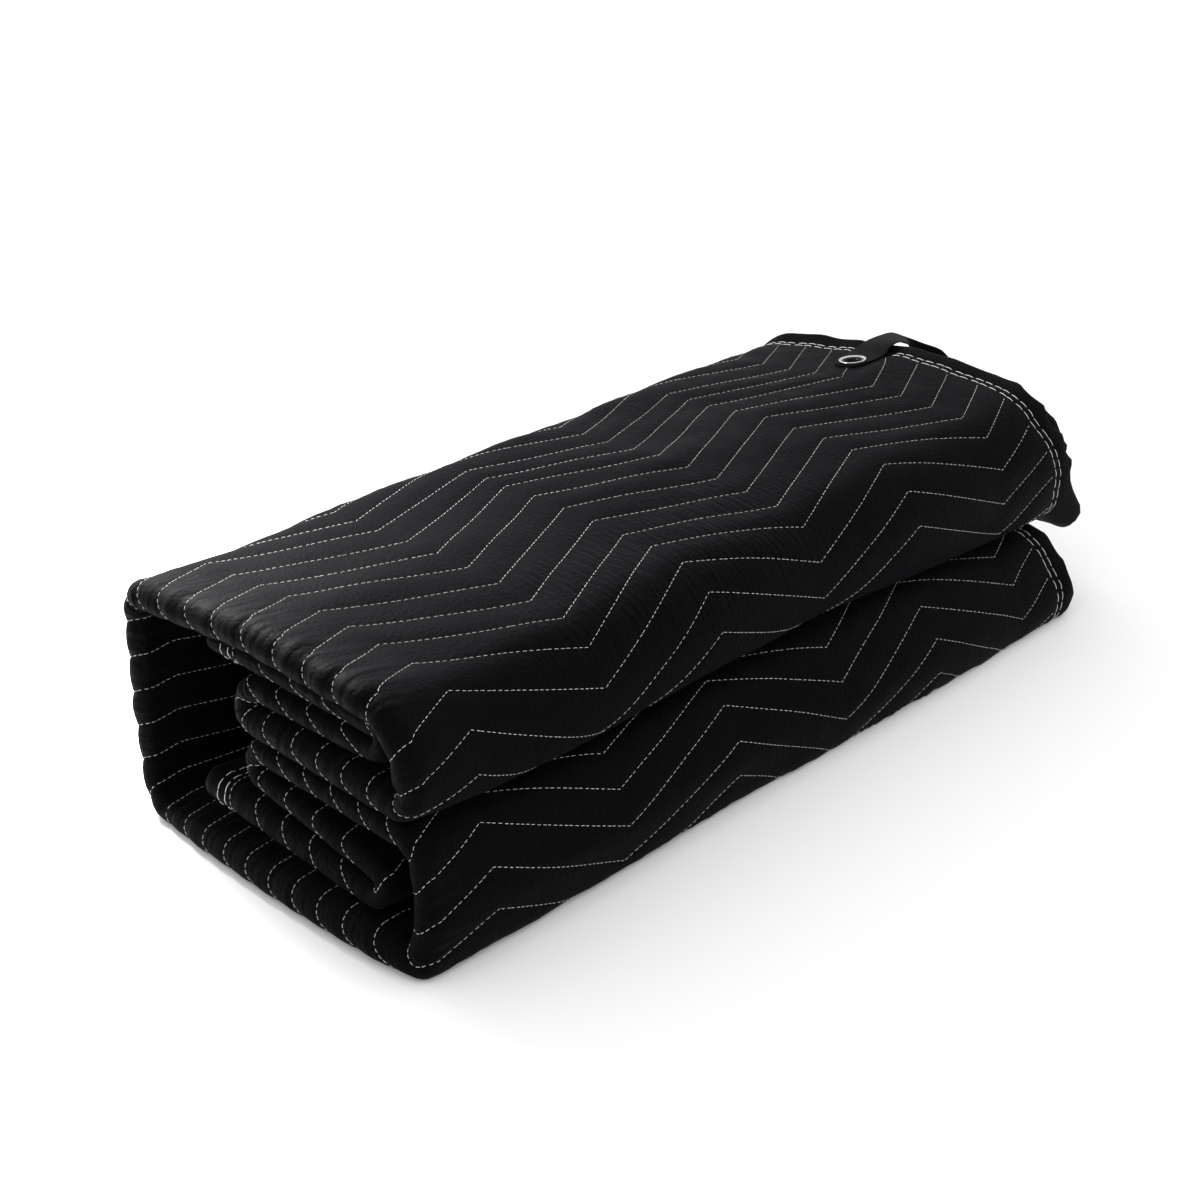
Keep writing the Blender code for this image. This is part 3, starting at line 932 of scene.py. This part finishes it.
def end_stitches(cloth):
    """The seams of the hems along the rolls' free edges, which show at the folded end."""
    face = cloth[0]
    rows = []
    for seam in HEM_SEAMS:
        edge = seam * LINES / FOLD_END
        for line in (edge, LINES - edge):
            column = int(np.abs(face.lines[:, 0] - line).argmin())
            kept = (face.x[column] < SEEN_NEAR) | (face.x[column] > SEEN_FAR)
            rows += sewn(cloth, column, kept, HEM_STITCH, seed=column)
    return make_stitches("stitches_flap_hems", rows)


# The loop strap and the eyelet

def cloth_at(x, y, underside=False):
    """The point of the top's upper ply over x and y."""
    places = np.linspace(.80, 1.13, 500)
    across = np.full_like(places, x)
    depth = ply_at(across) / FOLD.pair(places, across) if underside else 0
    points = FOLD.point(places, across, depth)
    return np.array([np.interp(y, points[:, 1], points[:, k]) for k in range(3)])


def eyelet_seat():
    """The point of the cloth under the eyelet, and its normal."""
    step = 0.006
    along = cloth_at(EYELET_X + step, EYELET_Y) - cloth_at(EYELET_X - step, EYELET_Y)
    across = cloth_at(EYELET_X, EYELET_Y + step) - cloth_at(EYELET_X, EYELET_Y - step)
    return cloth_at(EYELET_X, EYELET_Y), unit(np.cross(along, across))


def band_point(place, deck, normal):
    x, y, z = place
    if z == ON_CLOTH:
        tilt = (normal[0] * (x - deck[0]) + normal[1] * (y - deck[1])) / normal[2]
        return np.array([x, y, deck[2] - tilt + WEBBING_LIFT + WEBBING / 2])
    if z == UNDER_HEM:
        return np.array([x, y, cloth_at(x, y, underside=True)[2] - SEAT - WEBBING / 2])
    return np.array([x, y, deck[2] + z])


def smooth_rows(rows, steps):
    """A curve through every row, as a cubic between its neighbours."""
    ends = np.concatenate([2 * rows[:1] - rows[1:2], rows, 2 * rows[-1:] - rows[-2:-1]])
    found = []
    for before, start, end, after in zip(ends, ends[1:], ends[2:], ends[3:]):
        for t in np.arange(steps) / steps:
            leaving, entering = (end - before) / 2, (after - start) / 2
            found.append(
                (2 * t ** 3 - 3 * t ** 2 + 1) * start + (t ** 3 - 2 * t ** 2 + t) * leaving
                + (3 * t ** 2 - 2 * t ** 3) * end + (t ** 3 - t ** 2) * entering
            )
    return np.array(found + [rows[-1]])


def make_strap(deck, normal):
    """The webbing as a closed band with rounded selvedges, and the vectors for its weave."""
    edges = np.array([[band_point(place, deck, normal) for place in band] for band in BANDS])
    edges = smooth_rows(edges, BAND_STEPS)
    middles = edges.mean(axis=1)
    onward = units(np.gradient(middles, axis=0))
    aside = edges[:, 1] - edges[:, 0]
    thick = units(np.cross(aside, onward))
    angles = 2 * np.pi * (np.arange(2 * BAND_COLUMNS) + 0.5) / (2 * BAND_COLUMNS)
    across = np.sign(np.cos(angles)) * np.abs(np.cos(angles)) ** 0.8 / 2
    depth = np.sign(np.sin(angles)) * np.abs(np.sin(angles)) ** 0.25 * WEBBING / 2
    points = middles[:, None] + aside[:, None] * across[:, None] + thick[:, None] * depth[:, None]
    index = np.arange(points.shape[0] * points.shape[1]).reshape(points.shape[:2])
    around = np.concatenate([index, index[:, :1]], axis=1)
    faces = grid_faces(around) + [index[0].tolist(), index[-1, ::-1].tolist()]
    length = distances(middles)
    width = np.linalg.norm(aside, axis=1)
    weave = np.stack(np.broadcast_arrays(length[:, None], width[:, None] * across, 0), axis=-1)
    return make_mesh("webbing_strap", points, faces), {"weave": weave.reshape(-1, 3)}


# The eyelet's pressed rim, above the webbing: its underside, and its slope into the bore
UNDERSIDE = table(
    "radius height",
    (EYELET_BARREL, -.0012),
    (.0112, -.0006),
    (.0118, -.0002),
)
SLOPE = table(
    "radius height",
    (.0137, .0008),
    (.0128, .0005),
    (.0118, .0002),
    (.0110, -.0003),
    (.0104, -.0010),
    (.0101, -.0018),
    (EYELET_BORE, -.0030),
)
RIM_TOP = WEBBING_LIFT + WEBBING + SEAT     # where the rim lies, above the cloth
PAINTED_SHADE_BELOW, PAINTED_SHADE_FADE = 0.0004, 0.0004    # painted shade: the bore is painted dark and non-metallic up to here over the webbing, fading out over the second height


def eyelet_profile():
    """Radius and height over the cloth: a rolled rim that slopes into the bore."""
    bottom = -HEM_PLY - 2 * SEAT
    bead = [
        (EYELET_FLANGE - 0.0010 + 0.0010 * np.cos(angle),
         RIM_TOP + 0.0009 + 0.0009 * np.sin(angle))
        for angle in np.linspace(-1.2, 2.3, 12)
    ]
    return (
        [(radius, RIM_TOP + height) for radius, height in UNDERSIDE] + bead
        + [(radius, RIM_TOP + height) for radius, height in SLOPE]
        + [
            (EYELET_BORE, bottom - EYELET_FLANGE_HEIGHT),
            (EYELET_FLANGE, bottom - EYELET_FLANGE_HEIGHT),
            (EYELET_FLANGE, bottom),
            (EYELET_BARREL, bottom),
        ]
    )


def make_eyelet(deck, normal):
    aside = unit(np.cross(normal, (0, 1, 0)))
    other = np.cross(normal, aside)
    angles = 2 * np.pi * np.arange(EYELET_SIDES) / EYELET_SIDES
    spokes = np.cos(angles)[:, None] * aside + np.sin(angles)[:, None] * other
    profile = np.array(eyelet_profile())
    points = deck + spokes[:, None] * profile[:, :1] + normal * profile[:, 1:]
    index = np.arange(EYELET_SIDES * len(profile)).reshape(EYELET_SIDES, -1)
    around = np.concatenate([index, index[:1]], axis=0)
    around = np.concatenate([around, around[:, :1]], axis=1)
    eyelet = make_mesh("eyelet_ring", points, grid_faces(around))
    # the height sets where the bore's painted shade begins
    store(eyelet, "height", np.broadcast_to(profile[:, 1:] - RIM_TOP, points.shape))
    eyelet.data.set_sharp_from_angle(angle=np.radians(50))
    return eyelet


def vertex_places(piece):
    places = np.zeros(3 * len(piece.data.vertices), np.float32)
    piece.data.vertices.foreach_get("co", places)
    return places.reshape(-1, 3)


def nearest_of(old_places, places):
    """For each place, the number of the nearest of the old ones."""
    tree = KDTree(len(old_places))
    for i, place in enumerate(old_places.tolist()):
        tree.insert(place, i)
    tree.balance()
    return np.array([tree.find(place)[1] for place in places.tolist()])


def cut_hole(piece, vectors, deck, normal):
    """A round hole along the eyelet's axis, from above the cloth to below its ply. The vectors are
    stored after the Boolean, which would clear them. Each vertex takes the nearest old one's."""
    bpy.ops.mesh.primitive_cylinder_add(
        vertices=EYELET_SIDES, radius=EYELET_HOLE, depth=CUT_ABOVE + CUT_BELOW
    )
    cutter = bpy.context.object
    cutter.location = Vector(deck + ORIGIN + normal * (CUT_ABOVE - CUT_BELOW) / 2)
    cutter.rotation_mode = "QUATERNION"
    cutter.rotation_quaternion = Vector(normal).to_track_quat("Z", "Y")
    boolean = piece.modifiers.new("hole", "BOOLEAN")
    boolean.operation = "DIFFERENCE"
    boolean.solver = "EXACT"
    boolean.object = cutter
    bpy.context.view_layer.objects.active = piece
    old_places = vertex_places(piece)
    bpy.ops.object.modifier_apply(modifier="hole")
    bpy.data.objects.remove(cutter, do_unlink=True)
    nearest = nearest_of(old_places, vertex_places(piece))
    for name, values in vectors.items():
        store(piece, name, values[nearest])


# Materials

def material(name, colour, roughness, settings=()):
    """A material, with settings as pairs of a socket's name and its value. The colour and the
    roughness are plain ones, which nodes may take over."""
    made = bpy.data.materials.new(name)
    made.use_nodes = True
    shader = made.node_tree.nodes["Principled BSDF"]
    for socket, value in (("Base Color", (*colour, 1)), ("Roughness", roughness), *settings):
        shader.inputs[socket].default_value = value
    return made, shader


class Nodes:
    """Short ways to add nodes to a material."""

    def __init__(self, made):
        self.tree = made.node_tree
        self.place = self.add("ShaderNodeTexCoord").outputs["Object"]

    def add(self, kind, **settings):
        node = self.tree.nodes.new(kind)
        for name, value in settings.items():
            setattr(node, name, value)
        return node

    def link(self, value, socket):
        """Links an output to a socket, or sets the socket to a number or a colour."""
        if isinstance(value, bpy.types.NodeSocket):
            self.tree.links.new(value, socket)
        else:
            socket.default_value = (*value, 1) if isinstance(value, tuple) else value

    def stored(self, name):
        """The three parts of a vector kept with the mesh."""
        node = self.add("ShaderNodeAttribute", attribute_name=name)
        apart = self.add("ShaderNodeSeparateXYZ")
        self.link(node.outputs["Vector"], apart.inputs[0])
        return apart.outputs

    def combined(self, *parts):
        node = self.add("ShaderNodeCombineXYZ")
        for socket, value in zip(node.inputs, parts):
            self.link(value, socket)
        return node.outputs[0]

    def noise(self, scale, detail=2.0, roughness=0.5, place=None):
        node = self.add("ShaderNodeTexNoise")
        node.inputs["Scale"].default_value = scale
        node.inputs["Detail"].default_value = detail
        node.inputs["Roughness"].default_value = roughness
        self.link(place or self.place, node.inputs["Vector"])
        return node.outputs["Fac"]

    def ramp(self, value, low, high):
        """A noise's usual range, spread from low to high."""
        node = self.add("ShaderNodeMapRange")
        for socket, number in zip(node.inputs, (value, 0.3, 0.7, low, high)):
            self.link(number, socket)
        return node.outputs["Result"]

    def math(self, operation, first, second=0.0):
        node = self.add("ShaderNodeMath", operation=operation)
        for socket, value in zip(node.inputs, (first, second)):
            self.link(value, socket)
        return node.outputs["Value"]

    def mixed(self, share, first, second):
        node = self.add("ShaderNodeMix", data_type="RGBA")
        for number, value in ((0, share), (6, first), (7, second)):
            self.link(value, node.inputs[number])
        return node.outputs[2]

    def bump(self, shader, *layers):
        """Bumps, each a height, its distance in metres and its strength, one on the other."""
        normal = None
        for height, distance, strength in layers:
            node = self.add("ShaderNodeBump")
            node.inputs["Distance"].default_value = distance
            node.inputs["Strength"].default_value = strength
            self.link(height, node.inputs["Height"])
            if normal:
                self.link(normal, node.inputs["Normal"])
            normal = node.outputs["Normal"]
        self.link(normal, shader.inputs["Normal"])


# The noise of creasing()'s three sorts of crease. along and across are its features a metre, along
# the fold and across it.
CREASES = table(
    "along across seed depth strength",
    (22, 190, 1.0, 0.0027, 0.9),
    (70, 150, 5.0, 0.0008, 0.8),
    (70, 14, 9.0, 0.0070, 0.9),
)


def fabric_material():
    """Black non-woven cloth: a fine matted fibre with a soft sheen, creased where it bends."""
    made, shader = material("quilted_fabric", (0.010, 0.0105, 0.012), 0.75, (
        ("Sheen Weight", 0.018),
        ("Sheen Roughness", 0.4),
        ("Sheen Tint", (0.72, 0.78, 0.92, 1)),
        ("Specular IOR Level", 0.014),
    ))
    nodes = Nodes(made)
    fibre = nodes.noise(560, detail=3, roughness=0.75)
    mottle = nodes.noise(38, detail=3)
    shade = nodes.math("MULTIPLY", nodes.ramp(fibre, 0.0, 1.0), nodes.ramp(mottle, 0.6, 1.0))
    dark, light = (0.0006, 0.0006, 0.0007), (0.0042, 0.0043, 0.0050)
    nodes.link(nodes.mixed(shade, dark, light), shader.inputs["Base Color"])
    nodes.link(nodes.ramp(mottle, 0.52, 0.66), shader.inputs["Roughness"])
    place, signed_x, _ = nodes.stored("cloth")
    creases = []
    for crease, share in zip(CREASES, nodes.stored("creasing")):
        along = nodes.math("MULTIPLY", place, crease.along)
        across = nodes.math("MULTIPLY", signed_x, crease.across)
        stretched = nodes.noise(1.0, detail=1, place=nodes.combined(along, across, crease.seed))
        creases.append((nodes.math("MULTIPLY", stretched, share), crease.depth, crease.strength))
    lumps = nodes.noise(240, detail=3)
    nodes.bump(shader, *creases, (lumps, 0.0018, 0.7), (fibre, 0.0008, 0.8))
    return made


RIB_PITCH, YARN_PITCH = 0.0016, 0.0024     # of the webbing, along it and across


def webbing_material():
    """Black webbing: a plain weave of flat yarns."""
    made, shader = material("webbing", (0.006, 0.006, 0.0065), 0.55, (
        ("Sheen Weight", 0.008),
        ("Specular IOR Level", 0.02),
    ))
    nodes = Nodes(made)
    length, width, _ = nodes.stored("weave")
    ribs = nodes.math("SINE", nodes.math("MULTIPLY", length, 2 * np.pi / RIB_PITCH))
    yarns = nodes.math("SINE", nodes.math("MULTIPLY", width, 2 * np.pi / YARN_PITCH))
    fuzz = nodes.noise(900, detail=3)
    dark, light = (0.0012, 0.0012, 0.0014), (0.0045, 0.0045, 0.0050)
    nodes.link(nodes.mixed(nodes.ramp(fuzz, 0, 1), dark, light), shader.inputs["Base Color"])
    weave = nodes.math("MULTIPLY", ribs, yarns)
    nodes.bump(shader, (weave, 0.0004, 0.7), (fuzz, 0.0004, 0.4))
    return made


def nickel_material():
    """Bright nickel with fine scratches and a little tarnish, and a bore painted dark and
    non-metallic as painted shade for the shadow inside it.
    """
    made, shader = material("nickel", (0.50, 0.50, 0.49), 0.25, (("Specular IOR Level", 0.1),))
    nodes = Nodes(made)
    tarnish = nodes.noise(160, detail=4)
    tint = nodes.mixed(nodes.ramp(tarnish, 0, 1), (0.34, 0.34, 0.33), (0.58, 0.58, 0.57))
    height, _, _ = nodes.stored("height")
    # painted shade: below a height over the rim the nickel turns into a dark non-metal, standing in
    # for the shadow in the bore
    above_painted_shade = nodes.math("MULTIPLY", nodes.math("ADD", height, -PAINTED_SHADE_BELOW), 1 / PAINTED_SHADE_FADE)
    outside_painted_shade = nodes.math("MAXIMUM", nodes.math("MINIMUM", above_painted_shade, 1.0), 0.0)
    nodes.link(nodes.mixed(outside_painted_shade, (0.004, 0.004, 0.004), tint), shader.inputs["Base Color"])
    nodes.link(outside_painted_shade, shader.inputs["Metallic"])
    nodes.link(nodes.ramp(tarnish, 0.34, 0.18), shader.inputs["Roughness"])
    nodes.bump(shader, (nodes.noise(1500, detail=2), 0.0001, 0.2))
    return made


def thread_material():
    made, shader = material("stitching_thread", (0.78, 0.77, 0.74), 0.6, (("Sheen Weight", 0.1),))
    nodes = Nodes(made)
    strands = nodes.noise(2600, detail=2)
    dark, light = (0.60, 0.59, 0.56), (0.86, 0.85, 0.82)
    nodes.link(nodes.mixed(nodes.ramp(strands, 0, 1), dark, light), shader.inputs["Base Color"])
    nodes.bump(shader, (strands, 0.0003, 0.6))
    return made


# The scene round the bundle

LENS, SENSOR = 58.74, 36.0
CAMERA_PLACE = (-1.391, -1.2225, 1.0475)
CAMERA_PITCH = 27.05                 # degrees below the horizon
CAMERA_HEADING = (0.7280, 0.6855)

LIGHTS = table(
    "name place aim size power",
    ("back_softbox", (0.6, 2.2, 1.6), (-0.2, 0, 0.2), 1.8, 3),
    ("left_softbox", (-0.40, 0.50, 0.55), (-0.40, 0.18, 0.25), 0.30, 16),
)
WORLD_STRENGTH = 1.2


def add_looking(name, data, place, direction):
    """A camera or a lamp at a place, turned to look in a direction."""
    added = bpy.data.objects.new(name, data)
    added.location = place
    added.rotation_mode = "QUATERNION"
    added.rotation_quaternion = direction.to_track_quat("-Z", "Y")
    bpy.context.scene.collection.objects.link(added)
    return added


def make_camera():
    camera = bpy.data.cameras.new("camera")
    camera.lens = LENS
    camera.sensor_width = SENSOR
    camera.clip_start = 0.05
    pitch = np.radians(CAMERA_PITCH)
    forward = Vector((
        CAMERA_HEADING[0] * np.cos(pitch), CAMERA_HEADING[1] * np.cos(pitch), -np.sin(pitch)
    ))
    bpy.context.scene.camera = add_looking("camera", camera, CAMERA_PLACE, forward)


def make_studio():
    world = bpy.data.worlds.new("studio")
    world.use_nodes = True
    background = world.node_tree.nodes["Background"]
    background.inputs["Color"].default_value = (1, 1, 1, 1)
    background.inputs["Strength"].default_value = WORLD_STRENGTH
    bpy.context.scene.world = world
    bpy.context.scene.view_settings.view_transform = "Standard"
    for light in LIGHTS:
        lamp = bpy.data.lights.new(light.name, "AREA")
        lamp.shape = "DISK"
        lamp.size = light.size
        lamp.energy = light.power
        add_looking(light.name, lamp, light.place, Vector(light.aim) - Vector(light.place))

    bpy.ops.mesh.primitive_plane_add(size=30)
    floor = bpy.context.object
    floor.name = "floor"
    floor.data.materials.append(material("floor", (0.93, 0.93, 0.93), 0.9)[0])


def make_cloth():
    face = Face(column_lines())
    outer, inner = dress(face)
    blanket, vectors = make_blanket(face, outer, inner)
    cloth = (face, outer, normals_of(outer))
    stitching = [quilting_stitches(group, cloth) for group in STITCH_GROUPS]
    return blanket, vectors, stitching + [hem_stitches(cloth), end_stitches(cloth)]


def main():
    deck, normal = eyelet_seat()
    blanket, cloth_vectors, stitching = make_cloth()
    strap, weave_vectors = make_strap(deck, normal)
    eyelet = make_eyelet(deck, normal)
    cut_hole(blanket, cloth_vectors, deck, normal)
    cut_hole(strap, weave_vectors, deck, normal)

    thread = thread_material()
    for piece in stitching:
        piece.data.materials.append(thread)
    blanket.data.materials.append(fabric_material())
    strap.data.materials.append(webbing_material())
    eyelet.data.materials.append(nickel_material())
    for piece in (blanket, *stitching, strap, eyelet):
        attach(piece, "root")
    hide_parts("blanket")
    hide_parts("loop_strap")
    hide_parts("eyelet")


make_camera()
make_studio()
main()
